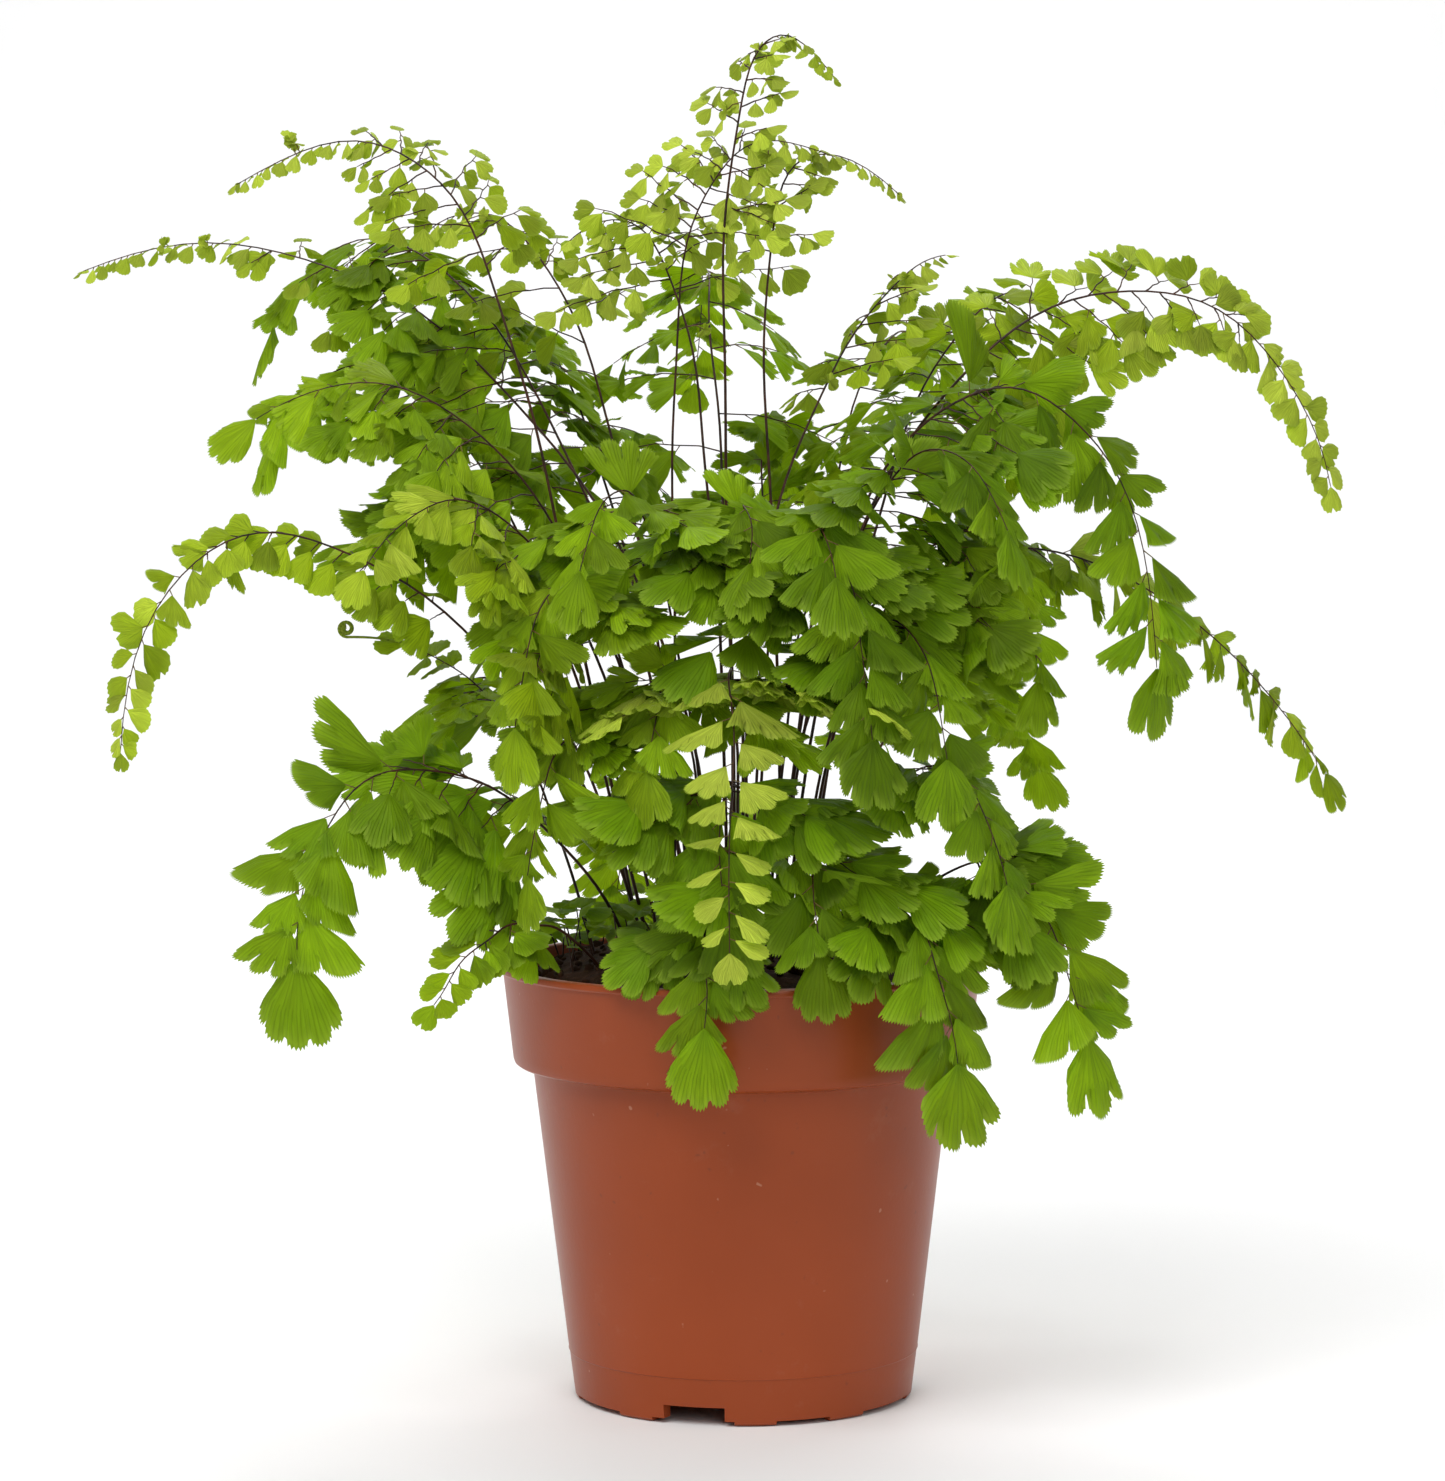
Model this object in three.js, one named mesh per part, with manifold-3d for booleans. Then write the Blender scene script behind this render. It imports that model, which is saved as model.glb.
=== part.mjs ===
// A maidenhair fern in a 12 cm nursery pot. Millimetres, +Z up, origin at the middle of the pot's base.
// Each frond is one node: a wiry stalk that rises from the soil and arches over, with side sprigs of
// fan-shaped leaflets. Each sprig is one thin blade whose outline is cut to the rib between leaflets.
import * as THREE from "three";
import { mergeVertices } from "three/addons/utils/BufferGeometryUtils.js";
import Module from "manifold-3d";

const wasm = await Module();
wasm.setup();

// The pot: an injection-moulded tapered pot with a deep rim band.
const POT_HEIGHT = 108;
const LIP_RADIUS = 60.3;
const LIP_HEIGHT = 2;
const BAND_TOP_RADIUS = 59.1;
const BAND_BOTTOM_RADIUS = 56.6;
const BAND_BOTTOM = 83.5;
const BODY_TOP_RADIUS = 51.8;
const FOOT_RADIUS = 42;
const WALL = 1.5;
const FOOT_RING = 3.2;
const FLOOR_UNDERSIDE = 5;
const FLOOR_TOP = 6.5;
const PAD_RADIUS = 12;
const POT_SIDES = 24;

// The foot repeats three times round the pot: three feet and one drain notch in each third.
const FOOT_THIRDS = 3;
const FIRST_FOOT_BEARING = 231;
const FOOT_OFFSETS = [0, 43, 76];
const FOOT_HALF_ANGLE = 7;
const FOOT_GAP = 1;
const NOTCH_BEARING = 253.3;
const NOTCH_HALF_ANGLE = 10.5;
const NOTCH_HEIGHT = 4.4;

// The soil fills the pot to the rim and is heaped up round the crown.
const SOIL_EDGE = 103;
const SOIL_MIDDLE = 111;
const SOIL_GAP = 0.3;
const SOIL_LUMP = 0.9;
const SOIL_RINGS = [0.88, 0.7, 0.36];

// Stalks and blades, no thinner than a solid part can be.
const STALK_RADIUS = 0.9;
const STALK_STEPS = 5;
const STALK_HOLE = 0.45;
const STALK_DEPTH = 13;
const BLADE = 0.6;
const RIB_HALF_WIDTH = 0.4;
const TIP_SHARE = 0.84;
const END_SUNK = 1.6;

// How sprigs rise, bend and face. A frond with leaflets shorter than YOUNG_LEAF is a young one.
const YOUNG_LEAF = 10.5;
const STEEPEST = 0.2;
const YOUNG_STEEPEST = 0.4;
const LOWEST = -0.5;
const OUTWARD = 1.1;
const YOUNG_OUTWARD = 0.3;
const BEND = 0.16;
const CUP = 0.12;

// Leaflets: the most on a sprig, their angle to its rib and the step between them in leaf lengths.
const MOST_LEAFLETS = 3;
const END_LEAFLETS = 2;
const SIDE_ANGLE = 62;
const LEAFLET_STEP = 0.95;
const SMALL_LEAFLET = 15.5;
const OLD_LEAF = 14.5;

// What would touch another frond is turned about its stalk, in degrees, then shrunk, or left out.
const GAP = 0.25;
const CLEARANCE = 0.5;
const TRIES = [
  [0, 1], [14, 1], [-14, 1], [28, 1], [-28, 1],
  [0, 0.8], [22, 0.75], [-22, 0.75], [45, 0.75], [-45, 0.75], [0, 0.55],
];

const UP = new THREE.Vector3(0, 0, 1);
const radians = THREE.MathUtils.degToRad;

// One line for each frond. bearing: 0 is to the right, 90 away, 180 left, 270 towards the viewer.
// root: distance from the pot's axis. knee, crown, tip: [distance, height] of the arch's other
// control points. sweep: how far the tip's bearing turns. roll: how far the frond's face turns about
// its stalk. bare: share of the stalk below the first sprig. pinnae: side sprigs. spread: length of
// the longest. leaf: length of a leaflet.
const frond = (name, bearing, root, knee, crown, tip, sweep, roll, bare, pinnae, spread, leaf) =>
  ({ name, bearing, root, knee, crown, tip, sweep, roll, bare, pinnae, spread, leaf });

const FRONDS = [
  // Tall young fronds with small leaflets
  frond("upper_left", 205, 18, [61, 224], [45, 343], [123, 300], -25, 60, 0.47, 6, 28, 8),
  frond("tall_middle", 0, -17, [-13, 224], [-30, 332], [24, 306], 0, -60, 0.62, 6, 28, 8),
  frond("tall_left", 150, 5, [2, 200], [8, 320], [50, 285], 0, 30, 0.6, 4, 34, 8),
  frond("upper_right_small", 330, 6.5, [24, 203], [-18, 348], [40, 296], 40, -50, 0.62, 4, 15, 7),
  frond("tallest", 100, 10, [3, 237], [-27, 373], [25, 325], -85, 0, 0.62, 4, 14, 7),
  frond("upper_right_thin", 40, 8, [-17, 214], [36, 279], [59, 282], -12, 0, 0.6, 4, 24, 9),
  frond("far_left_thin", 148, 12, [-10, 203], [88, 312], [175, 280], 15, 50, 0.55, 4, 24, 9),
  frond("back_left_light", 140, 15, [20, 210], [60, 330], [112, 284], 0, 10, 0.55, 3, 28, 10),
  // Long arching fronds to the right
  frond("right_high", 10, 9, [12, 301], [131, 305], [147, 224], -6, -60, 0.4, 7, 20, 12.5),
  frond("right_drooping", 340, 11, [7, 284], [105, 288], [103, 171], 9, -50, 0.4, 5, 31, 17),
  frond("right_low_long", 352, 14, [-8, 232], [95, 244], [152, 144], 14, -15, 0.4, 6, 20, 14),
  frond("right_inner", 342, 16, [12, 199], [75, 264], [76, 168], 0, -50, 0.45, 5, 32, 15),
  frond("right_back", 35, 18, [24, 190], [66, 318], [112, 258], 0, -20, 0.45, 5, 36, 12),
  // Long arching fronds to the left
  frond("left_long", 194, 22, [24, 177], [139, 279], [153, 163], 0, 58, 0.45, 6, 22, 14),
  frond("left_back_high", 153, 20, [-7, 152], [84, 352], [134, 266], 0, 15, 0.45, 7, 44, 15),
  frond("left_back_middle", 160, 24, [32, 170], [84, 306], [126, 236], 0, 30, 0.45, 4, 42, 15),
  frond("left_high", 190, 12, [18, 180], [60, 282], [118, 242], 0, 30, 0.42, 5, 38, 14),
  frond("left_middle", 214, 20, [25, 180], [70, 258], [105, 207], 0, 40, 0.42, 4, 34, 14),
  frond("left_lower", 205, 27, [22, 146], [126, 206], [116, 100], 0, 60, 0.5, 4, 22, 18.5),
  frond("left_lower_small", 214, 28, [54, 131], [65, 128], [89, 104], 0, 50, 0.5, 3, 9, 11.5),
  frond("left_curled", 175, 32, [46, 150], [58, 189], [98, 188], 0, 15, 0.6, 3, 18, 12),
  // Fronds that hang towards the viewer
  frond("front_left_hanging", 228, 18, [30, 190], [70, 250], [80, 160], 0, 0, 0.5, 4, 26, 16),
  frond("front_left_low", 227, 26, [34, 165], [66, 202], [74, 126], 0, 0, 0.5, 4, 17, 15),
  frond("front_pale", 268, 14, [25, 170], [65, 238], [86, 120], 0, 0, 0.5, 5, 34, 13.5),
  frond("front_rim", 262, 26, [37, 132], [63, 145], [71, 82], 0, 0, 0.55, 4, 18, 17),
  frond("front_low", 266, 20, [30, 150], [55, 190], [66, 118], 0, 0, 0.5, 4, 32, 19),
  frond("front_right_hanging", 294, 14, [20, 190], [62, 260], [77, 156], 0, 0, 0.48, 4, 28, 17),
  frond("front_right_broad", 314, 18, [22, 180], [58, 238], [72, 152], 0, 0, 0.48, 5, 26, 19),
  frond("front_right_rim", 309, 28, [37, 132], [75, 154], [81, 78], 0, 0, 0.5, 4, 22, 19),
  frond("right_rim", 333, 28, [46, 142], [82, 158], [95, 84], 0, -50, 0.5, 3, 18, 18),
  // Fronds of the dense middle
  frond("middle_left", 240, 12, [20, 200], [55, 264], [77, 200], 0, 0, 0.48, 5, 34, 15.5),
  frond("middle_front", 272, 3, [12, 215], [44, 246], [64, 204], 0, 0, 0.48, 3, 34, 15.5),
  frond("middle_front_right", 288, 8, [15, 205], [48, 250], [76, 200], 0, 0, 0.48, 4, 36, 16.5),
  frond("middle_right", 320, 12, [20, 200], [55, 278], [86, 208], 0, 0, 0.46, 5, 36, 17),
  frond("inner_left", 250, 19, [28, 160], [52, 222], [66, 152], 0, 0, 0.5, 4, 30, 15),
  frond("low_right", 322, 24, [32, 150], [66, 192], [82, 124], 0, 0, 0.5, 3, 20, 18),
  frond("low_middle", 286, 22, [28, 136], [55, 165], [68, 112], 0, 0, 0.5, 3, 32, 19),
  // Fronds at the back
  frond("back_high", 95, 14, [25, 195], [84, 345], [142, 250], 0, 0, 0.45, 3, 38, 14),
  frond("back_left", 125, 20, [30, 180], [90, 330], [138, 242], 0, 0, 0.45, 3, 36, 14),
  frond("back_right", 66, 18, [30, 180], [90, 322], [140, 238], 0, 0, 0.45, 2, 36, 14),
  frond("back_low", 108, 30, [42, 142], [92, 178], [112, 100], 0, 0, 0.5, 2, 26, 16),
  frond("back_low_right", 48, 26, [38, 160], [88, 212], [122, 142], 0, 0, 0.48, 2, 28, 15),
  frond("back_middle", 84, 24, [34, 150], [66, 290], [98, 222], 0, 0, 0.48, 2, 32, 15),
  frond("back_low_left", 142, 28, [38, 160], [84, 212], [116, 142], 0, 0, 0.48, 2, 28, 15),
];

// The same number from 0 to 1 for the same keys each time.
const DRAW_WEIGHTS = [12.9898, 78.233, 37.719, 4.581];
const draw = (...keys) => {
  const wave = Math.sin(keys.reduce((sum, key, i) => sum + key * DRAW_WEIGHTS[i], 0)) * 43758.5453;
  return wave - Math.floor(wave);
};
const between = (low, high, ...keys) => low + (high - low) * draw(...keys);

const at = (bearing, distance, height) => new THREE.Vector3(
  distance * Math.cos(radians(bearing)),
  distance * Math.sin(radians(bearing)),
  height,
);

function archOf(f) {
  return new THREE.CubicBezierCurve3(
    at(f.bearing, f.root, SOIL_EDGE - STALK_DEPTH),
    at(f.bearing, ...f.knee),
    at(f.bearing + f.sweep / 2, ...f.crown),
    at(f.bearing + f.sweep, ...f.tip),
  );
}

// The stretch of a curve between two of its parameters, as a curve of its own.
class Stretch extends THREE.Curve {
  constructor(whole, from, to) {
    super();
    Object.assign(this, { whole, from, to });
  }
  getPoint(t) {
    return this.whole.getPoint(this.from + (this.to - this.from) * t);
  }
}

// Across the frond and out of its upper face, at a parameter of its arch.
function faceOf(f, arch, t) {
  const along = arch.getTangent(t);
  const across = at(f.bearing + f.sweep * t + 90, 1, 0);
  across.addScaledVector(along, -across.dot(along)).normalize();
  const upper = along.clone().cross(across);
  const roll = radians(f.roll);
  return {
    along,
    across: across.clone().multiplyScalar(Math.cos(roll)).addScaledVector(upper, -Math.sin(roll)),
    upper: upper.clone().multiplyScalar(Math.cos(roll)).addScaledVector(across, Math.sin(roll)),
  };
}

// Leaflets face out of the frond's upper face, and away from the plant. Young ones lie flatter.
function facingOf(f, arch, t) {
  const reach = f.leaf < YOUNG_LEAF ? YOUNG_OUTWARD : OUTWARD;
  const outward = at(f.bearing + f.sweep * t, reach * Math.cos(radians(f.roll)) ** 2, 0);
  return faceOf(f, arch, t).upper.add(outward).normalize();
}

// Solids: a geometry with its doubled points merged, and back again.
function solidOf(geometry) {
  const bare = geometry.index ? geometry.toNonIndexed() : geometry.clone();
  bare.deleteAttribute("normal");
  bare.deleteAttribute("uv");
  const merged = mergeVertices(bare, 1e-4);
  return new wasm.Manifold(new wasm.Mesh({
    numProp: 3,
    vertProperties: new Float32Array(merged.attributes.position.array),
    triVerts: new Uint32Array(merged.index.array),
  }));
}

function geometryOf(solid) {
  const mesh = solid.getMesh();
  const geometry = new THREE.BufferGeometry();
  geometry.setAttribute("position", new THREE.BufferAttribute(mesh.vertProperties, mesh.numProp));
  geometry.setIndex(new THREE.BufferAttribute(mesh.triVerts, 1));
  geometry.computeVertexNormals();
  return geometry;
}

const points = (pairs) => pairs.map(([x, y]) => new THREE.Vector2(x, y));

function extruded(outline, depth) {
  return new THREE.ExtrudeGeometry(new THREE.Shape(outline), { depth, bevelEnabled: false, steps: 1 });
}

// A wedge of a ring: between two bearings, two radii and two heights.
function ringWedge(bearing, halfAngle, inner, outer, low, high) {
  const arc = (radius, from, to) => [0, 0.5, 1].map((share) => {
    const angle = radians(from + (to - from) * share);
    return new THREE.Vector2(radius * Math.cos(angle), radius * Math.sin(angle));
  });
  const outline = [
    ...arc(inner, bearing + halfAngle, bearing - halfAngle),
    ...arc(outer, bearing - halfAngle, bearing + halfAngle),
  ];
  return solidOf(extruded(outline, high - low).translate(0, 0, low));
}

// The inside of the pot, from the floor to the rim, as [radius, height].
const INSIDE = [
  [BODY_TOP_RADIUS - WALL - 9.6, FLOOR_TOP],
  [BODY_TOP_RADIUS - WALL, BAND_BOTTOM - 0.3],
  [BAND_BOTTOM_RADIUS - WALL, BAND_BOTTOM + WALL + 0.2],
  [BAND_TOP_RADIUS - WALL, POT_HEIGHT - LIP_HEIGHT],
];

function makePot() {
  const profile = points([
    [0, 0],
    [PAD_RADIUS, 0],
    [PAD_RADIUS, FLOOR_UNDERSIDE],
    [FOOT_RADIUS - FOOT_RING, FLOOR_UNDERSIDE],
    [FOOT_RADIUS - FOOT_RING, 0],
    [FOOT_RADIUS - 0.5, 0],
    [FOOT_RADIUS, 0.7],
    [BODY_TOP_RADIUS, BAND_BOTTOM - 1.8],
    [BAND_BOTTOM_RADIUS - 1.4, BAND_BOTTOM - 1],
    [BAND_BOTTOM_RADIUS - 0.3, BAND_BOTTOM],
    [BAND_BOTTOM_RADIUS, BAND_BOTTOM + 1.4],
    [BAND_TOP_RADIUS, POT_HEIGHT - LIP_HEIGHT],
    [LIP_RADIUS, POT_HEIGHT - LIP_HEIGHT + 0.3],
    [LIP_RADIUS, POT_HEIGHT - 0.6],
    [LIP_RADIUS - 0.6, POT_HEIGHT],
    [BAND_TOP_RADIUS - WALL + 0.4, POT_HEIGHT],
    ...[...INSIDE].reverse(),
    [0, FLOOR_TOP],
  ]);
  let pot = solidOf(new THREE.LatheGeometry(profile, POT_SIDES).rotateX(Math.PI / 2));
  const thirds = Array.from({ length: FOOT_THIRDS }, (_, i) => i * 360 / FOOT_THIRDS);
  const ring = [FOOT_RADIUS - FOOT_RING - 1, FOOT_RADIUS + 2];
  for (const turn of thirds) {
    FOOT_OFFSETS.forEach((offset, i) => {
      const next = FOOT_OFFSETS[i + 1] ?? FOOT_OFFSETS[0] + 120;
      const middle = FIRST_FOOT_BEARING + turn + (offset + next) / 2;
      const half = (next - offset) / 2 - FOOT_HALF_ANGLE;
      pot = pot.subtract(ringWedge(middle, half, ...ring, -1, FOOT_GAP));
    });
    const notch = NOTCH_BEARING + turn;
    pot = pot.subtract(ringWedge(notch, NOTCH_HALF_ANGLE, ...ring, -1, NOTCH_HEIGHT));
    const drain = ringWedge(notch, NOTCH_HALF_ANGLE + 2, 28, 36, FLOOR_UNDERSIDE - 1, FLOOR_TOP + 1);
    pot = pot.subtract(drain);
  }
  return pot;
}

// A hole in the soil follows the buried foot of each stalk.
function makeSoil(arches) {
  const edge = INSIDE.map(([radius, height]) => [radius - SOIL_GAP, height + SOIL_GAP]);
  const top = SOIL_RINGS.map((share) => [
    share * edge[3][0],
    SOIL_EDGE + (SOIL_MIDDLE - SOIL_EDGE) * (1 - share ** 4),
  ]);
  const rim = [edge[3][0] - 0.9, SOIL_EDGE];
  const outline = [[0, edge[0][1]], ...edge.slice(0, 3), rim, ...top, [0, SOIL_MIDDLE]];
  const geometry = new THREE.LatheGeometry(points(outline), POT_SIDES).rotateX(Math.PI / 2);
  const spots = geometry.attributes.position;
  for (let i = 0; i < spots.count; i += 1) {
    const [x, y, z] = [spots.getX(i), spots.getY(i), spots.getZ(i)];
    if (z > SOIL_EDGE + 0.1 && Math.hypot(x, y) > 1) {
      spots.setZ(i, z + between(-SOIL_LUMP, SOIL_LUMP, Math.round(x * 4), Math.round(y * 4)));
    }
  }
  let soil = solidOf(geometry);
  for (const arch of arches) {
    const [bottom, middle, above] = stalkRings(arch);
    for (const [from, to] of [[bottom, middle], [middle, above]]) {
      const margin = to.clone().sub(from).setLength(SOIL_GAP);
      const hole = new THREE.LineCurve3(from.clone().sub(margin), to.clone().add(margin));
      soil = soil.subtract(tubeAlong(hole, STALK_RADIUS + STALK_HOLE, 1, 4));
    }
  }
  return soil;
}

// A tube of a few flat sides along a curve.
function tubeAlong(path, radius, steps, sides) {
  const section = new THREE.Shape(Array.from({ length: sides }, (_, i) => {
    const angle = (i + 0.5) / sides * 2 * Math.PI;
    return new THREE.Vector2(radius * Math.cos(angle), radius * Math.sin(angle));
  }));
  return solidOf(new THREE.ExtrudeGeometry(section, { steps, extrudePath: path, bevelEnabled: false }));
}

// A stalk runs straight from ring to ring. Its sprigs stand on the nearest point of that line.
const stalkPath = (arch) => new Stretch(arch, 0, TIP_SHARE);
const stalkRings = (arch) => stalkPath(arch).getSpacedPoints(STALK_STEPS);

function onStalk(rings, point) {
  const spots = rings.slice(1).map(
    (end, i) => new THREE.Line3(rings[i], end).closestPointToPoint(point, true, new THREE.Vector3()),
  );
  return spots.reduce((best, spot) => (spot.distanceTo(point) < best.distanceTo(point) ? spot : best));
}

// One leaflet: a wedge that widens from its stalk to a lobed outer edge. Each point is an angle from
// the leaflet's middle line and a share of its length.
const LEAFLET_EDGE = [[-52, 0.76], [-21, 1.04], [1, 0.82], [23, 1.06], [52, 0.74]];
const SMALL_LEAFLET_EDGE = [[-47, 0.8], [-13, 1.05], [5, 0.84], [36, 1.0]];

// The outline of a sprig: along one side of its rib, round the end leaflet and back on the other side.
function sprigOutline(sprig) {
  const { length, leaf, count, side } = sprig;
  const edge = leaf < SMALL_LEAFLET ? SMALL_LEAFLET_EDGE : LEAFLET_EDGE;
  const stalk = Math.min(0.3 * leaf, 4);
  const fan = (x, y, direction, size) => edge.map(([angle, share]) => {
    const turned = radians(direction + angle);
    return new THREE.Vector2(x + share * size * Math.cos(turned), y + share * size * Math.sin(turned));
  });
  const step = Math.max(LEAFLET_STEP * leaf, 0.8 * length / count);
  const places = Array.from({ length: count - 1 }, (_, i) => ({
    x: length - (count - 1 - i) * step,
    side: (i + count) % 2 ? side : -side,
    size: leaf * (1 - 0.05 * (count - 2 - i)),
  })).filter((place) => place.x > 0.25 * leaf + STALK_RADIUS);
  const w = RIB_HALF_WIDTH;
  const sideOf = (sign) => places.filter((place) => place.side === sign).map(({ x, size }) => {
    const lean = radians(SIDE_ANGLE);
    const foot = [x + 0.4 * stalk * Math.cos(lean), sign * (w + 0.4 * stalk * Math.sin(lean))];
    return { x, fan: fan(...foot, sign * SIDE_ANGLE, size) };
  });
  const right = sideOf(-1).flatMap(({ x, fan: tips }) => [
    new THREE.Vector2(x - w, -w), ...tips, new THREE.Vector2(x + w, -w),
  ]);
  const left = sideOf(1).reverse().flatMap(({ x, fan: tips }) => [
    new THREE.Vector2(x + w, w), ...tips, new THREE.Vector2(x - w, w),
  ]);
  return [
    new THREE.Vector2(0, -w), ...right, new THREE.Vector2(length, -w),
    ...fan(length, 0, 0, leaf * 1.08),
    new THREE.Vector2(length, w), ...left, new THREE.Vector2(0, w),
  ];
}

// The thin blade of a sprig, arched along its length and cupped across, set on its stalk.
function sprigBlade(sprig) {
  const { foot, along, across, upper, length, leaf } = sprig;
  const blade = extruded(sprigOutline(sprig), BLADE);
  const reach = length + leaf;
  const bend = sprig.bend / reach;
  const spots = blade.attributes.position;
  for (let i = 0; i < spots.count; i += 1) {
    const [x, y, z] = [spots.getX(i), spots.getY(i), spots.getZ(i)];
    spots.setZ(i, z - BLADE / 2 - bend * x * x - CUP * y * y / leaf);
  }
  const placed = new THREE.Matrix4().makeBasis(along, across, upper).setPosition(foot);
  return solidOf(blade.applyMatrix4(placed));
}

// Every sprig of a frond: one at each step along the arch, on alternate sides, and one at its end.
function sprigsOf(f, arch, seed) {
  const rings = stalkRings(arch);
  const steps = Array.from({ length: f.pinnae }, (_, k) => k);
  const sides = steps.map((k) => {
    const share = k / (f.pinnae - 1);
    const t = f.bare + (TIP_SHARE - 0.03 - f.bare) * share;
    const { along, across } = faceOf(f, arch, t);
    const side = (k + seed) % 2 ? 1 : -1;
    const lean = radians(between(44, 68, seed, k, 1));
    const heading = along.clone().multiplyScalar(Math.cos(lean))
      .addScaledVector(across, side * Math.sin(lean))
      .addScaledVector(UP, -between(0.05, 0.45, seed, k, 2));
    heading.setZ(THREE.MathUtils.clamp(heading.z, LOWEST, f.leaf < YOUNG_LEAF ? YOUNG_STEEPEST : STEEPEST));
    const length = f.spread * (1 - 0.7 * share) * between(0.7, 1.15, seed, k, 3);
    return {
      foot: onStalk(rings, arch.getPoint(t)),
      axis: along,
      heading,
      facing: facingOf(f, arch, t).addScaledVector(across, between(-0.3, 0.3, seed, k, 4)),
      length,
      leaf: f.leaf * (1 - 0.3 * share),
      most: k < 1 ? MOST_LEAFLETS : MOST_LEAFLETS - 1,
      side,
      bend: BEND,
    };
  });
  const [before, last] = rings.slice(-2);
  const foot = last.clone().addScaledVector(before.clone().sub(last).normalize(), END_SUNK);
  const heading = arch.getPoint(1).sub(foot);
  const end = {
    foot,
    axis: heading.clone().normalize(),
    heading,
    facing: facingOf(f, arch, TIP_SHARE),
    length: Math.max(heading.length() - 0.5 * f.leaf, 0.4 * f.leaf),
    leaf: f.leaf * (f.leaf < OLD_LEAF ? 0.65 : 0.95),
    most: END_LEAFLETS,
    side: 1,
    bend: 0,
  };
  return [end, ...sides];
}

// The same sprig turned about its stalk and shrunk, ready to be shaped.
function settled(sprig, turn, size) {
  const spin = (v) => v.clone().applyAxisAngle(sprig.axis, radians(turn));
  const along = spin(sprig.heading).normalize();
  const facing = spin(sprig.facing);
  const upper = facing.addScaledVector(along, -facing.dot(along)).normalize();
  const length = sprig.length * size;
  const leaf = sprig.leaf * Math.min(1, size + 0.1);
  return {
    ...sprig,
    along,
    across: upper.clone().cross(along),
    upper,
    length,
    leaf,
    count: 1 + Math.min(sprig.most - 1, Math.floor(length / (LEAFLET_STEP * leaf))),
  };
}

const boxesMeet = (a, b) => [0, 1, 2].every(
  (i) => a.min[i] < b.max[i] + CLEARANCE && b.min[i] < a.max[i] + CLEARANCE,
);
const item = (owner, solid) => ({ owner, solid, box: solid.boundingBox() });
const isClear = (tried, others) => others.every(
  (other) => !boxesMeet(tried.box, other.box) || tried.solid.minGap(other.solid, CLEARANCE) >= GAP,
);

function makeFronds(arches, pot, soil) {
  const stalks = arches.map(
    (arch, i) => item(i, tubeAlong(stalkPath(arch), STALK_RADIUS, STALK_STEPS, 3)),
  );
  const taken = [item(-1, pot), item(-1, soil), ...stalks];
  const bodies = stalks.map((stalk) => stalk.solid);
  FRONDS.forEach((f, i) => {
    const foreign = () => taken.filter((other) => other !== stalks[i]);
    for (const sprig of sprigsOf(f, arches[i], i)) {
      for (const [turn, size] of TRIES) {
        const tried = item(i, sprigBlade(settled(sprig, turn, size)));
        if (isClear(tried, foreign())) {
          taken.push(tried);
          bodies[i] = bodies[i].add(tried.solid);
          break;
        }
      }
    }
  });
  return bodies.map((body) => body.simplify(0.004));
}

// Colours of the leaves by age, from the palest young frond to the oldest.
const LEAF_COLOURS = [0x9cb63a, 0x86a531, 0x6f962a, 0x568126, 0x436f22];

function meshOf(name, solid, color, roughness) {
  const material = new THREE.MeshStandardMaterial({ color, roughness, metalness: 0 });
  const mesh = new THREE.Mesh(geometryOf(solid), material);
  mesh.name = name;
  return mesh;
}

const arches = FRONDS.map(archOf);
const pot = makePot();
const soil = makeSoil(arches);
const fern = new THREE.Group();
fern.name = "potted_maidenhair_fern";
fern.add(meshOf("pot", pot, 0x934e32, 0.55));
fern.add(meshOf("soil", soil, 0x2b1d16, 0.95));
makeFronds(arches, pot, soil).forEach((body, i) => {
  const age = Math.round(Math.min(1, Math.max(0, (FRONDS[i].leaf - 7) / 10)) * 4);
  fern.add(meshOf(`frond_${FRONDS[i].name}`, body, LEAF_COLOURS[age], 0.6));
});

export default fern;
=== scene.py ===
"""A maidenhair fern in a 12 cm nursery pot, in metres. +Z is up, and the viewer stands at -Y."""
import math
import bmesh
import bpy
from mathutils import Matrix, Vector, noise


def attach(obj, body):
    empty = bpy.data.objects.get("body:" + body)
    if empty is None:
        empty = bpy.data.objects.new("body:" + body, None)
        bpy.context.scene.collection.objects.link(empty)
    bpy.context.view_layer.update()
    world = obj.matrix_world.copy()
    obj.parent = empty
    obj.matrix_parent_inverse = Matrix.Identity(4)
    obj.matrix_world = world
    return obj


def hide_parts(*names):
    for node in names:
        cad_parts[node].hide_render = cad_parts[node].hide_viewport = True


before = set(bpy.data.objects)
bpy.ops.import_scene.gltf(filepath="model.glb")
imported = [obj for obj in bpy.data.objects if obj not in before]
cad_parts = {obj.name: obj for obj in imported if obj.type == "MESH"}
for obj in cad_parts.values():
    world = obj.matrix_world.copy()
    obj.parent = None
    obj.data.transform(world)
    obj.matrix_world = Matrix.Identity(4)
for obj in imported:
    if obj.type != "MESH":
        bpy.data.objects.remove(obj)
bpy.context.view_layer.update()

MM = 0.001

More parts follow.
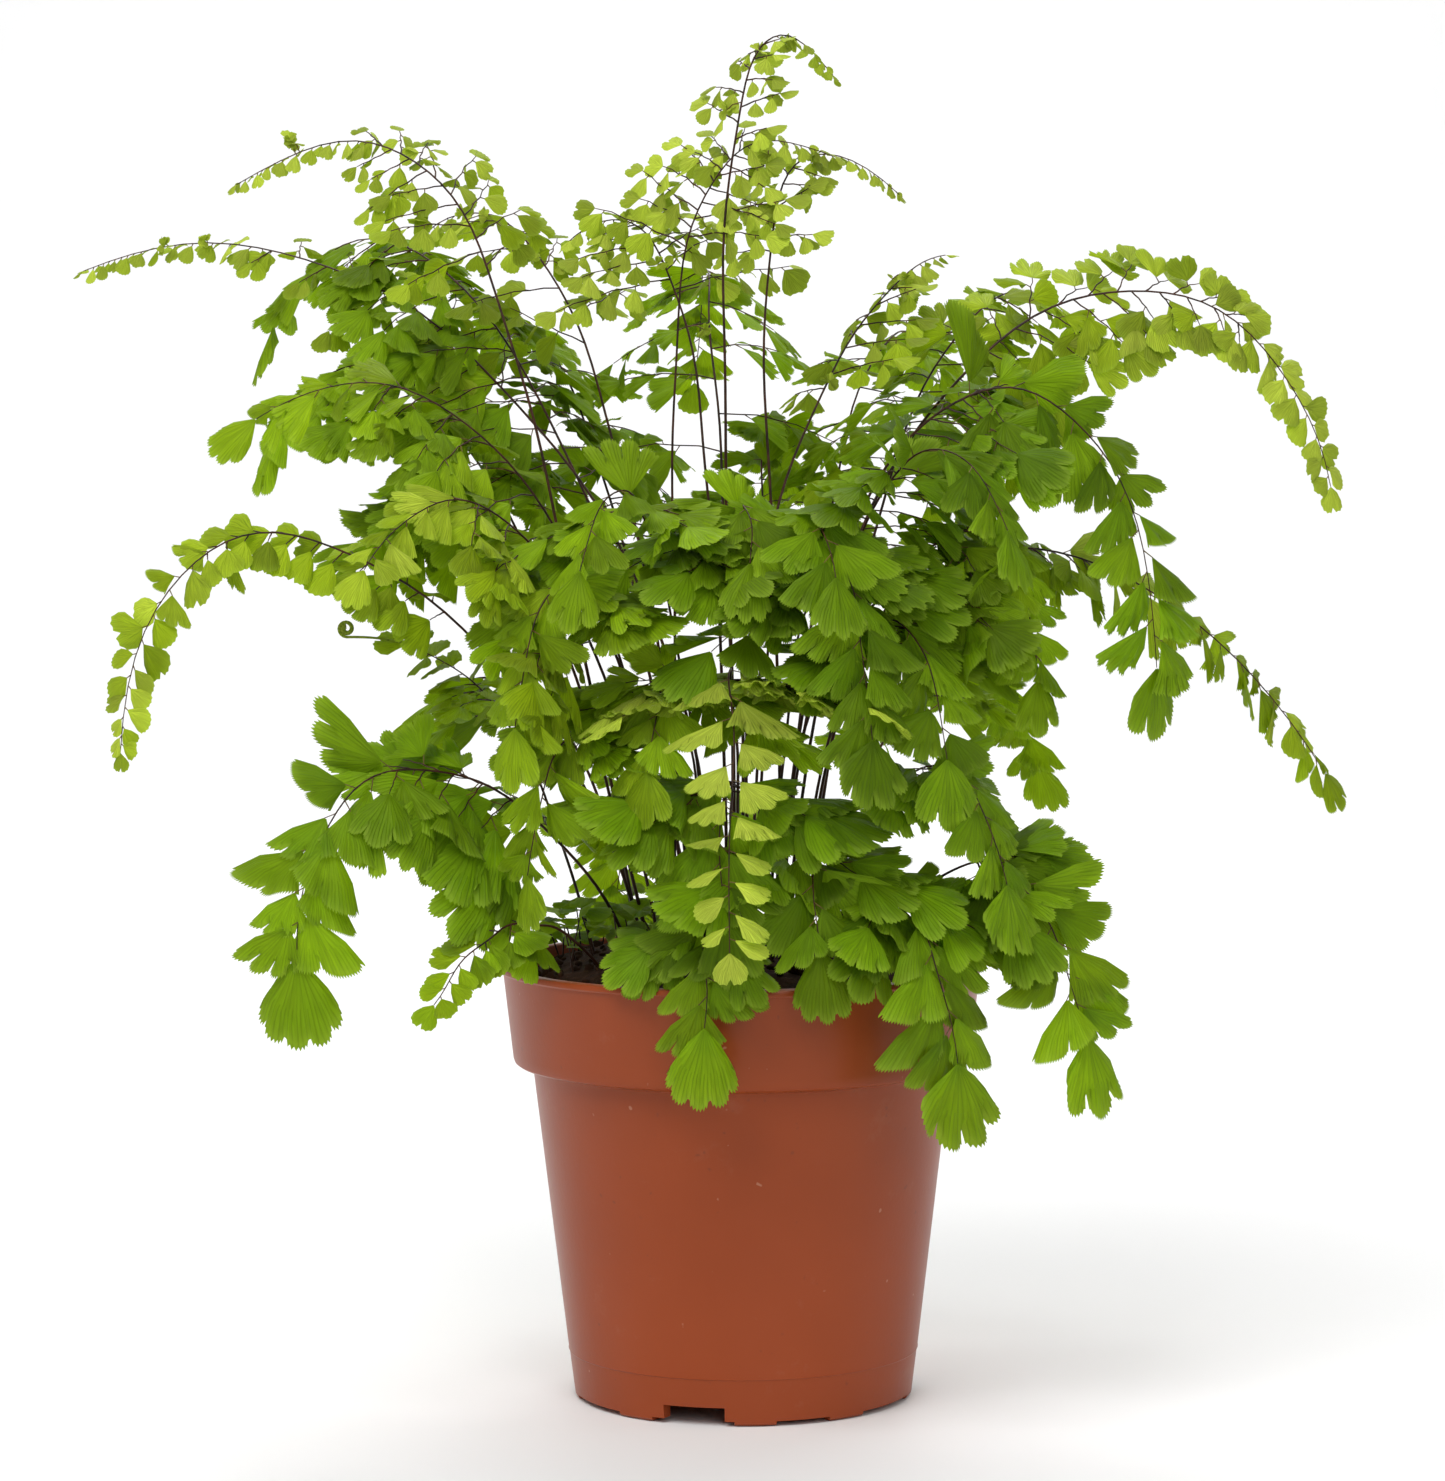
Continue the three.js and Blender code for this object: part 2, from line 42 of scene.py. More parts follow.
# One line for each frond, in millimetres and degrees, as in the part's source.
# name, bearing, root, knee, crown, tip, sweep, roll, bare, sprigs, spread, leaf
FRONDS = """
upper_left 205 18 61 224 45 343 123 300 -25 60 0.47 6 28 8
tall_middle 0 -17 -13 224 -30 332 24 306 0 -60 0.62 6 28 8
tall_left 150 5 2 200 8 320 50 285 0 30 0.6 4 34 8
upper_right_small 330 6.5 24 203 -18 348 40 296 40 -50 0.62 4 15 7
tallest 100 10 3 237 -27 373 25 325 -85 0 0.62 4 14 7
upper_right_thin 40 8 -17 214 36 279 59 282 -12 0 0.6 4 24 9
far_left_thin 148 12 -10 203 88 312 175 280 15 50 0.55 4 24 9
back_left_light 140 15 20 210 60 330 112 284 0 10 0.55 3 28 10
right_high 10 9 12 301 131 305 147 224 -6 -60 0.4 7 20 12.5
right_drooping 340 11 7 284 105 288 103 171 9 -50 0.4 5 31 17
right_low_long 352 14 -8 232 95 244 152 144 14 -15 0.4 6 20 14
right_inner 342 16 12 199 75 264 76 168 0 -50 0.45 5 32 15
right_back 35 18 24 190 66 318 112 258 0 -20 0.45 5 36 12
left_long 194 22 24 177 139 279 153 163 0 58 0.45 6 22 14
left_back_high 153 20 -7 152 84 352 134 266 0 15 0.45 7 44 15
left_back_middle 160 24 32 170 84 306 126 236 0 30 0.45 4 42 15
left_high 190 12 18 180 60 282 118 242 0 30 0.42 5 38 14
left_middle 214 20 25 180 70 258 105 207 0 40 0.42 4 34 14
left_lower 205 27 22 146 126 206 116 100 0 60 0.5 4 22 18.5
left_lower_small 214 28 54 131 65 128 89 104 0 50 0.5 3 9 11.5
left_curled 175 32 46 150 58 189 98 188 0 15 0.6 3 18 12
front_left_hanging 228 18 30 190 70 250 80 160 0 0 0.5 4 26 16
front_left_low 227 26 34 165 66 202 74 126 0 0 0.5 4 17 15
front_pale 268 14 25 170 65 238 86 120 0 0 0.5 5 34 13.5
front_rim 262 26 37 132 63 145 71 82 0 0 0.55 4 18 17
front_low 266 20 30 150 55 190 66 118 0 0 0.5 4 32 19
front_right_hanging 294 14 20 190 62 260 77 156 0 0 0.48 4 28 17
front_right_broad 314 18 22 180 58 238 72 152 0 0 0.48 5 26 19
front_right_rim 309 28 37 132 75 154 81 78 0 0 0.5 4 22 19
right_rim 333 28 46 142 82 158 95 84 0 -50 0.5 3 18 18
middle_left 240 12 20 200 55 264 77 200 0 0 0.48 5 34 15.5
middle_front 272 3 12 215 44 246 64 204 0 0 0.48 3 34 15.5
middle_front_right 288 8 15 205 48 250 76 200 0 0 0.48 4 36 16.5
middle_right 320 12 20 200 55 278 86 208 0 0 0.46 5 36 17
inner_left 250 19 28 160 52 222 66 152 0 0 0.5 4 30 15
low_right 322 24 32 150 66 192 82 124 0 0 0.5 3 20 18
low_middle 286 22 28 136 55 165 68 112 0 0 0.5 3 32 19
back_high 95 14 25 195 84 345 142 250 0 0 0.45 3 38 14
back_left 125 20 30 180 90 330 138 242 0 0 0.45 3 36 14
back_right 66 18 30 180 90 322 140 238 0 0 0.45 2 36 14
back_low 108 30 42 142 92 178 112 100 0 0 0.5 2 26 16
back_low_right 48 26 38 160 88 212 122 142 0 0 0.48 2 28 15
back_middle 84 24 34 150 66 290 98 222 0 0 0.48 2 32 15
back_low_left 142 28 38 160 84 212 116 142 0 0 0.48 2 28 15
"""
SOIL_EDGE = 103
STALK_DEPTH = 13
UP = Vector((0, 0, 1))
VIEWER = Vector((0, -1, 0))

# Fronds with leaflets shorter than YOUNG_LEAF are young, and from OLD_LEAF on they are old. A leaf
# of SMALLEST_LEAF has the palest green, and one that is longer by LEAF_SPAN has the deepest.
YOUNG_LEAF = 10.5
OLD_LEAF = 14.5
SMALLEST_LEAF = 7
LEAF_SPAN = 10

# A frond's leafy end is its tail: the share of its arch where that starts, its leaflets as a share
# of the frond's own, how much smaller they get on the way out, and where on the arch it stops.
# outward, lift and front: how far leaflets turn away from the plant, upwards and to its front.
# steep: the steepest that a side sprig rises. full: side sprigs for each one of the solid.
# size: of the leaflets. step: from one leaflet to the next, in leaf lengths.
YOUNG = dict(tail=(0.8, 0.85, 0.5, 1), outward=0.2, lift=0.7, steep=0.4, full=2.3, size=0.84, step=0.6)
MIDDLE = dict(tail=(0.7, 0.95, 0.35, 1), outward=1.1, lift=0.0, steep=0.2, full=2.2, size=1.0, step=0.38)
OLD = dict(tail=(0.56, 1.0, 0.12, 0.96), outward=1.1, lift=0.0, steep=0.2, full=2.2, size=1.0, step=0.34)

# The same for every age. reach: the length of side sprigs as a share of the solid's. lean: the
# degrees between a rib and its leaflets.
REACH = 1
FRONT = 0
LEAN = 59

# Where a frond differs from the others of its age. age: from 0 for pale to 1 for deep green. bare:
# where its first sprig stands.
HABITS = {
    "upper_left": dict(age=0.22, bare=0.58),
    "tall_left": dict(bare=0.66),
    "far_left_thin": dict(age=0.3),
    "back_left_light": dict(age=0.3),
    "right_high": dict(age=0.22, tail=(0.72, 0.95, 0.45, 1), steep=0.6, full=2.9, size=0.92, step=0.48),
    "right_drooping": dict(tail=(0.48, 1.15, 0.1, 0.97), full=2.0),
    "right_low_long": dict(age=0.5, tail=(0.6, 1.25, 0.45, 0.97), front=0.7, step=0.34),
    "right_back": dict(outward=0.3, lift=0.7, full=3.2, tail=(0.7, 0.95, 0.3, 1)),
    "left_long": dict(age=0.36, tail=(0.72, 1.05, 0.6, 1), reach=0.27, full=3.3, size=0.8, step=0.5),
    "left_back_high": dict(age=0.8, outward=0.1, lift=0.8, full=3.8, tail=(0.8, 1.1, 0.1, 1), front=0.3),
    "left_back_middle": dict(age=0.8, outward=0.1, lift=0.8, full=4, tail=(0.78, 1.0, 0.1, 1), front=0.3),
    "left_high": dict(outward=0.4, lift=0.5, full=3, tail=(0.74, 1.0, 0.1, 1), front=0.3),
    "left_middle": dict(age=0.4, outward=0.6, lift=0.3),
    "left_lower": dict(bare=0.34, full=2.8, size=1.1, tail=(0.56, 1.0, 0.05, 0.95), step=0.28),
    "left_lower_small": dict(age=0.8, size=0.85, full=1.3),
    "left_curled": dict(tail=(0.6, 0.9, 0.3, 0.86), full=1.6),
    "middle_right": dict(full=1.9),
    "middle_front_right": dict(full=1.9),
    "right_inner": dict(full=1.9),
    "front_pale": dict(age=0.06, tail=(0.46, 1.35, 0.6, 1), outward=0.4, lift=1.5, step=0.5, lean=78),
    "front_left_hanging": dict(age=0.6),
    "front_left_low": dict(age=0.65),
    "inner_left": dict(age=0.6),
    "middle_left": dict(age=0.75),
    "front_rim": dict(tail=(0.5, 1.2, 0.05, 0.89), full=1.6, size=0.86, step=0.32),
    "front_low": dict(full=1.7),
    "front_right_rim": dict(tail=(0.44, 1.2, 0.05, 0.94), full=2.6, size=0.93, step=0.27),
    "right_rim": dict(tail=(0.46, 1.1, 0.1, 0.95), full=2.8, step=0.27),
    "low_middle": dict(full=1.7),
    "middle_front": dict(full=1.7),
    "back_high": dict(age=0.8, outward=0.2, lift=0.8, full=2.8),
    "back_left": dict(age=0.8, outward=0.2, lift=0.8, full=2.8),
    "back_right": dict(age=0.8, outward=0.2, lift=0.8, full=2.8),
}

DRAW_WEIGHTS = (12.9898, 78.233, 37.719, 4.581)
DRAW_SCALE = 43758.5453

# A stalk wanders off its arch in two waves: how far, in millimetres, and how fast.
WANDER = ((0.7, 10), (0.45, 27))


def draw(*keys):
    """The same number from 0 to 1 for the same keys each time."""
    wave = math.sin(sum(key * weight for key, weight in zip(keys, DRAW_WEIGHTS))) * DRAW_SCALE
    return wave - math.floor(wave)


def between(low, high, *keys):
    """A drawn number from low to high, the same for the same keys each time."""
    return low + (high - low) * draw(*keys)


def at(bearing, distance, height):
    """The spot at a bearing in degrees, a distance from the pot's axis and a height."""
    turn = math.radians(bearing)
    return Vector((distance * math.cos(turn), distance * math.sin(turn), height))


class Frond:
    """One frond's driving values, its arch and the way its face looks."""

    def __init__(self, line):
        name, *numbers = line.split()
        values = [float(number) for number in numbers]
        (self.bearing, self.root, knee, knee_height, crown, crown_height, tip, tip_height,
         self.sweep, self.roll, bare, sprigs, self.spread, self.leaf) = values
        self.name = name
        self.sprigs = int(sprigs)
        self.young = self.leaf < YOUNG_LEAF
        self.old = self.leaf >= OLD_LEAF
        usual = OLD if self.old else YOUNG if self.young else MIDDLE
        self.grade = (self.leaf - SMALLEST_LEAF) / LEAF_SPAN
        own = {"bare": bare, "age": self.grade, "reach": REACH, "front": FRONT, "lean": LEAN}
        self.habit = {**own, **usual, **HABITS.get(name, {})}
        self.age = min(1.0, max(0.0, self.habit["age"]))
        self.size = self.leaf * self.habit["size"]
        self.spots = (
            at(self.bearing, self.root, SOIL_EDGE - STALK_DEPTH),
            at(self.bearing, knee, knee_height),
            at(self.bearing + self.sweep / 2, crown, crown_height),
            at(self.bearing + self.sweep, tip, tip_height),
        )

    def point(self, t):
        """A point of the arch, from 0 at its foot in the soil to 1 at its tip."""
        a, b, c, d = self.spots
        s = 1 - t
        return a * s ** 3 + b * (3 * s * s * t) + c * (3 * s * t * t) + d * t ** 3

    def spot(self, t):
        """A point of the stalk, which wanders a little off its arch on the way up."""
        phase = self.bearing + self.root
        wander = sum(far * math.sin(fast * t + (i + 1) * phase) for i, (far, fast) in enumerate(WANDER))
        return self.point(t) + self.face(t)[1] * (wander * min(1, 2 * t))

    def facing(self, t):
        """The way its leaflets face: out of the frond's upper face, and away from the plant."""
        share = math.cos(math.radians(self.roll)) ** 2
        outward = at(self.bearing + self.sweep * t, self.habit["outward"] * share, 0)
        forward = VIEWER * self.habit["front"]
        return (self.face(t)[2] + outward + UP * self.habit["lift"] + forward).normalized()

    def heading(self, t):
        """The way the arch goes on at a point of it."""
        a, b, c, d = self.spots
        s = 1 - t
        return ((b - a) * s * s + (c - b) * (2 * s * t) + (d - c) * t * t).normalized()

    def face(self, t):
        """Along the stalk, across the frond and out of its upper face."""
        along = self.heading(t)
        across = at(self.bearing + self.sweep * t + 90, 1, 0)
        across = (across - along * across.dot(along)).normalized()
        upper = along.cross(across)
        turn = math.radians(self.roll)
        return (along, across * math.cos(turn) - upper * math.sin(turn),
                upper * math.cos(turn) + across * math.sin(turn))


fronds = [Frond(line) for line in FRONDS.strip().splitlines()]


# Materials
def colour(red, green, blue):
    """A colour given as it looks on a screen, from 0 to 255, as linear light."""
    def linear(value):
        share = value / 255
        return share / 12.92 if share <= 0.04045 else ((share + 0.055) / 1.055) ** 2.4
    return (linear(red), linear(green), linear(blue), 1)


class Nodes:
    """A new material and short ways to add and join its nodes."""

    def __init__(self, name):
        self.material = bpy.data.materials.new(name)
        self.material.use_nodes = True
        self.tree = self.material.node_tree
        self.tree.nodes.clear()
        self.output = self.add("OutputMaterial")

    def add(self, kind, **settings):
        node = self.tree.nodes.new("ShaderNode" + kind)
        for key, value in settings.items():
            setattr(node, key, value)
        return node

    def join(self, source, target):
        self.tree.links.new(source, target)

    def fill(self, socket, value):
        """Sets a socket to a value, or joins it to another node's output."""
        if isinstance(value, bpy.types.NodeSocket):
            self.join(value, socket)
        else:
            socket.default_value = value

    def sums(self, operation, *values):
        node = self.add("Math", operation=operation)
        for socket, value in zip(node.inputs, values):
            self.fill(socket, value)
        return node.outputs[0]

    def blend(self, share, first, second, mode="MIX"):
        node = self.add("Mix", data_type="RGBA", blend_type=mode)
        self.fill(node.inputs[0], share)
        self.fill(node.inputs[6], first)
        self.fill(node.inputs[7], second)
        return node.outputs[2]

    def noise(self, place, scale, detail=2.0, rough=0.5):
        node = self.add("TexNoise")
        self.join(place, node.inputs["Vector"])
        node.inputs["Scale"].default_value = scale
        node.inputs["Detail"].default_value = detail
        node.inputs["Roughness"].default_value = rough
        return node.outputs["Fac"]

    def ramp(self, value, *stops):
        node = self.add("ValToRGB")
        while len(node.color_ramp.elements) < len(stops):
            node.color_ramp.elements.new(1)
        for element, (place, shade) in zip(node.color_ramp.elements, stops):
            element.position = place
            element.color = shade
        self.join(value, node.inputs[0])
        return node.outputs[0]

    def bump(self, height, strength, distance):
        node = self.add("Bump")
        node.inputs["Strength"].default_value = strength
        node.inputs["Distance"].default_value = distance
        self.join(height, node.inputs["Height"])
        return node.outputs["Normal"]

    def place(self):
        """The place on the piece, in metres."""
        return self.add("TexCoord").outputs["Object"]

    def shader(self, **values):
        """A surface, with its sockets by their names, where _ stands for a space."""
        node = self.add("BsdfPrincipled")
        for key, value in values.items():
            self.fill(node.inputs[key.replace("_", " ")], value)
        return node

    def finish(self, surface):
        self.join(surface, self.output.inputs["Surface"])
        return self.material


def grey(value):
    """A grey as linear light, which also carries a number through a ramp."""
    return (value, value, value, 1)


def leaf_material():
    """Thin leaf that lets light through, from pale and young to deep green, with fanned veins."""
    m = Nodes("maidenhair_leaf")
    age = m.add("Attribute", attribute_name="age").outputs["Fac"]
    tone = m.add("Attribute", attribute_name="tone").outputs["Fac"]
    split = m.add("SeparateXYZ")
    m.join(m.add("UVMap", uv_map="UVMap").outputs["UV"], split.inputs[0])
    across, outward = split.outputs[0], split.outputs[1]
    base = m.ramp(
        age,
        (0.0, colour(194, 208, 76)),
        (0.3, colour(147, 169, 23)),
        (0.6, colour(128, 162, 10)),
        (1.0, colour(94, 133, 5)),
    )
    # Veins fork once on their way out, and the leaf between them is streaked the same way.
    inner = m.sums("ABSOLUTE", m.sums("SINE", m.sums("MULTIPLY", across, 12 * math.pi)))
    outer = m.sums("ABSOLUTE", m.sums("SINE", m.sums("MULTIPLY", across, 24 * math.pi)))
    fan = m.add("CombineXYZ")
    m.join(m.sums("MULTIPLY", across, 34.0), fan.inputs[0])
    m.join(m.sums("MULTIPLY", outward, 1.6), fan.inputs[1])
    m.join(m.sums("MULTIPLY", tone, 50.0), fan.inputs[2])
    streaks = m.noise(fan.outputs[0], 1.0, 2.0)
    forked = m.sums("GREATER_THAN", outward, 0.45)
    lines = m.sums("ADD", m.sums("MULTIPLY", inner, m.sums("SUBTRACT", 1.0, forked)),
                   m.sums("MULTIPLY", outer, forked))
    vein = m.sums("POWER", m.sums("SUBTRACT", 1.0, lines), 3.0)
    patches = m.noise(m.place(), 160.0, 3.0)
    body = m.blend(m.sums("MULTIPLY", vein, 0.55), base, colour(44, 84, 4))
    body = m.blend(m.sums("MULTIPLY", patches, 0.22), body, colour(172, 196, 40))
    body = m.blend(1.0, body, m.ramp(streaks, (0.3, grey(0.76)), (0.7, grey(1.14))), "MULTIPLY")
    body = m.blend(1.0, body, m.ramp(tone, (0.0, grey(0.56)), (1.0, grey(1.28))), "MULTIPLY")
    # A paler margin: painted glow of light shining through the leaflet's thin edge.
    rim = m.sums("POWER", outward, 7.0)
    body = m.blend(m.sums("MULTIPLY", rim, 0.3), body, colour(168, 196, 66))
    relief = m.sums("ADD", m.sums("ADD", vein, streaks), m.sums("MULTIPLY", patches, 0.8))
    ridge = m.bump(relief, 0.5, 0.0003)
    face = m.shader(Base_Color=body, Roughness=0.55, Specular_IOR_Level=0.11, Normal=ridge)
    glow = m.add("BsdfTranslucent")
    m.join(m.blend(0.5, body, colour(170, 214, 0)), glow.inputs["Color"])
    mix = m.add("MixShader")
    mix.inputs[0].default_value = 0.3
    m.join(face.outputs[0], mix.inputs[1])
    m.join(glow.outputs[0], mix.inputs[2])
    return m.finish(mix.outputs[0])


def stalk_material(name, dark, light):
    """Polished wire, streaked along its length."""
    m = Nodes(name)
    streak = m.noise(m.place(), 220.0, 2.0)
    tint = m.ramp(streak, (0.35, dark), (0.7, light))
    return m.finish(m.shader(Base_Color=tint, Roughness=0.45, Specular_IOR_Level=0.25).outputs[0])


def pot_material():
    """Moulded terracotta-coloured plastic: satin, faintly mottled, scuffed where it is handled."""
    m = Nodes("terracotta_plastic")
    place = m.place()
    cloud = m.noise(place, 14.0, 3.0)
    grain = m.noise(place, 900.0, 2.0)
    body = m.ramp(cloud, (0.3, colour(139, 61, 26)), (0.7, colour(151, 68, 32)))
    dust = m.ramp(m.noise(place, 60.0, 6.0, 0.7), (0.6, grey(0)), (0.85, grey(1)))
    body = m.blend(m.sums("MULTIPLY", dust, 0.12), body, colour(196, 160, 134))
    speck = m.ramp(m.noise(place, 420.0, 1.0), (0.74, grey(0)), (0.8, grey(1)))
    body = m.blend(m.sums("MULTIPLY", speck, 0.4), body, colour(104, 56, 38))
    pale = m.ramp(m.noise(place, 380.0, 1.0), (0.78, grey(0)), (0.82, grey(1)))
    body = m.blend(m.sums("MULTIPLY", pale, 0.35), body, colour(206, 160, 132))
    rough = m.sums("ADD", 0.28, m.sums("MULTIPLY", cloud, 0.14))
    height = m.sums("ADD", m.sums("MULTIPLY", grain, 0.5), m.noise(place, 90.0, 2.0))
    moulded = m.bump(height, 0.12, 0.0004)
    face = m.shader(Base_Color=body, Roughness=rough, Specular_IOR_Level=0.22, Normal=moulded)
    return m.finish(face.outputs[0])


def soil_material(name, dark, light):
    """Peat: dark and matt, flecked with lighter fibre."""
    m = Nodes(name)
    place = m.place()
    crumbs = m.noise(place, 240.0, 6.0, 0.7)
    fibre = m.ramp(m.noise(place, 700.0, 2.0), (0.62, grey(0)), (0.75, grey(1)))
    body = m.ramp(crumbs, (0.3, dark), (0.75, light))
    body = m.blend(m.sums("MULTIPLY", fibre, 0.3), body, colour(120, 86, 58))
    crumbly = m.bump(crumbs, 0.8, 0.0015)
    face = m.shader(Base_Color=body, Roughness=0.92, Specular_IOR_Level=0.15, Normal=crumbly)
    return m.finish(face.outputs[0])


LEAF = leaf_material()
STALK = stalk_material("wiry_stalk", colour(34, 18, 12), colour(74, 40, 24))
YOUNG_STALK = stalk_material("thread_stalk", colour(70, 44, 20), colour(112, 96, 40))
POT = pot_material()
SOIL = soil_material("peat", colour(30, 17, 10), colour(76, 46, 30))


def show(name, bm, materials, nodes=(), sharp=None):
    """Makes a finished piece of a bmesh, which rides on the one body."""
    mesh = bpy.data.meshes.new(name)
    for face in bm.faces:
        face.smooth = True
    bm.to_mesh(mesh)
    bm.free()
    for material in materials:
        mesh.materials.append(material)
    if sharp is not None:
        mesh.set_sharp_from_angle(angle=math.radians(sharp))
    piece = bpy.data.objects.new(name, mesh)
    bpy.context.collection.objects.link(piece)
    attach(piece, "root")
    if nodes:
        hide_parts(*nodes)
    return piece


# Leaflets
# TOOTH: half a tooth's depth as a share of the leaflet's length. RINGS: where a leaflet's rows of
# points lie on the way out. FOOT: where its blade starts. BULGE: how far its smooth sides bulge, in
# degrees. LOBE_POWER: below 1, it makes the clefts between lobes narrow. SIDE_DROOP: how far its
# sides hang.
TOOTH = 0.023
RINGS = (0.0, 0.62, 1.0)
FOOT = 0.02
BULGE = 13
LOBE_POWER = 0.28
SIDE_DROOP = 0.05


def fan(share, opening, inner):
    """An end leaflet's outer edge: its turn in degrees and its distance, from one side to the other."""
    side = 2 * share - 1
    return opening * side, 1.03 - 0.2 * side * side - (0.83 - inner) * abs(side) ** 7


def half_fan(share, opening, inner):
    """A side leaflet's outer edge, from its long smooth side to the short side next to the rib."""
    tip = 0.14 * max(0, 1 - share / 0.12) ** 2
    return opening * share ** 1.25 - 8, inner + (1 - inner) * (1 - share) ** 1.1 - tip


def leaflet(name, outline, across, teeth, hand, opening, lobes, cleft, inner, droop, ripple):
    """A leaflet 1 mm long: its stalk at the origin, and its longest line along +X.

    The outer edge is lobed, and each lobe is cut again into small teeth. A half fan has its long
    smooth side to the left or the right, and hand says which.
    """
    bm = bmesh.new()
    layer = bm.loops.layers.uv.new("UVMap")
    bmesh.ops.create_grid(bm, x_segments=across, y_segments=2, size=0.5, calc_uvs=True)
    rim = [edge for edge in bm.edges if all(v.co.y > 0.49 for v in edge.verts)]
    bmesh.ops.subdivide_edges(bm, edges=rim, cuts=teeth)
    for face in bm.faces:
        for loop in face.loops:
            loop[layer].uv = (loop.vert.co.x + 0.5, loop.vert.co.y + 0.5)
    steps = across * (teeth + 1)
    for v in bm.verts:
        share = v.co.x + 0.5
        side = 2 * share - 1
        out = RINGS[round((v.co.y + 0.5) * 2)]
        turn, edge = outline(share, opening, inner)
        if out == 1 and 0.03 < share < 0.97:
            wave = abs(math.sin(math.pi * lobes * share)) ** LOBE_POWER
            edge *= 1 - cleft * (1 - wave)
            edge += TOOTH if round(share * steps) % 2 else -TOOTH
        # The smooth sides bulge, because the veins spread widest at the foot.
        turn += BULGE * (1 - out) * (min(side, 0) if outline is half_fan else side)
        turn = hand * math.radians(turn)
        reach = FOOT + (edge - FOOT) * out
        height = -droop * out * out - SIDE_DROOP * side * side * out
        height += ripple * math.sin(math.pi * lobes * side + 9 * inner) * out * out
        v.co = Vector((reach * math.cos(turn), reach * math.sin(turn), height))
    bmesh.ops.recalc_face_normals(bm, faces=bm.faces)
    if sum(face.normal.z for face in bm.faces) < 0:
        bmesh.ops.reverse_faces(bm, faces=bm.faces)
    mesh = bpy.data.meshes.new(name)
    bm.to_mesh(mesh)
    bm.free()
    return mesh


# opening, lobes, cleft, distance at the sides, droop, ripple
SIDE_FORMS = [
    (84, 3, 0.26, 0.46, 0.14, 0.035),
    (78, 2, 0.30, 0.54, 0.06, 0.050),
    (92, 4, 0.22, 0.48, 0.18, 0.035),
    (82, 3, 0.18, 0.60, 0.10, 0.030),
    (90, 3, 0.36, 0.56, 0.12, 0.045),
    (86, 4, 0.28, 0.62, 0.20, 0.035),
    (96, 4, 0.30, 0.52, 0.08, 0.050),
    (78, 2, 0.18, 0.42, 0.16, 0.055),
]
END_FORMS = [
    (50, 3, 0.30, 0.52, 0.12, 0.040),
    (44, 5, 0.22, 0.44, 0.16, 0.035),
    (53, 4, 0.26, 0.54, 0.08, 0.045),
    (42, 3, 0.36, 0.42, 0.18, 0.045),
]
SMALL_FORMS = [
    (46, 2, 0.20, 0.64, 0.14, 0.03),
    (40, 1, 0.00, 0.60, 0.18, 0.03),
    (50, 3, 0.18, 0.66, 0.10, 0.04),
    (42, 2, 0.16, 0.56, 0.22, 0.03),
    (36, 1, 0.00, 0.62, 0.10, 0.03),
]


def leaflets(name, outline, across, teeth, forms):
    """Every form as a left-hand and a right-hand leaflet."""
    return {
        hand: [leaflet(f"{name}_{i}", outline, across, teeth, hand, *form)
               for i, form in enumerate(forms)]
        for hand in (-1, 1)
    }


side_leaflets = leaflets("side", half_fan, 12, 5, SIDE_FORMS)
end_leaflets = leaflets("end", fan, 12, 5, END_FORMS)
small_leaflets = leaflets("small", fan, 8, 1, SMALL_FORMS)

# Leaflets up to this length, in millimetres, have one of the small forms.
LARGE_LEAFLET = 9.5

# A frond's materials, and the place of each in its piece.
GREENERY = (STALK, YOUNG_STALK, LEAF)
DARK, PALE, GREEN = range(3)


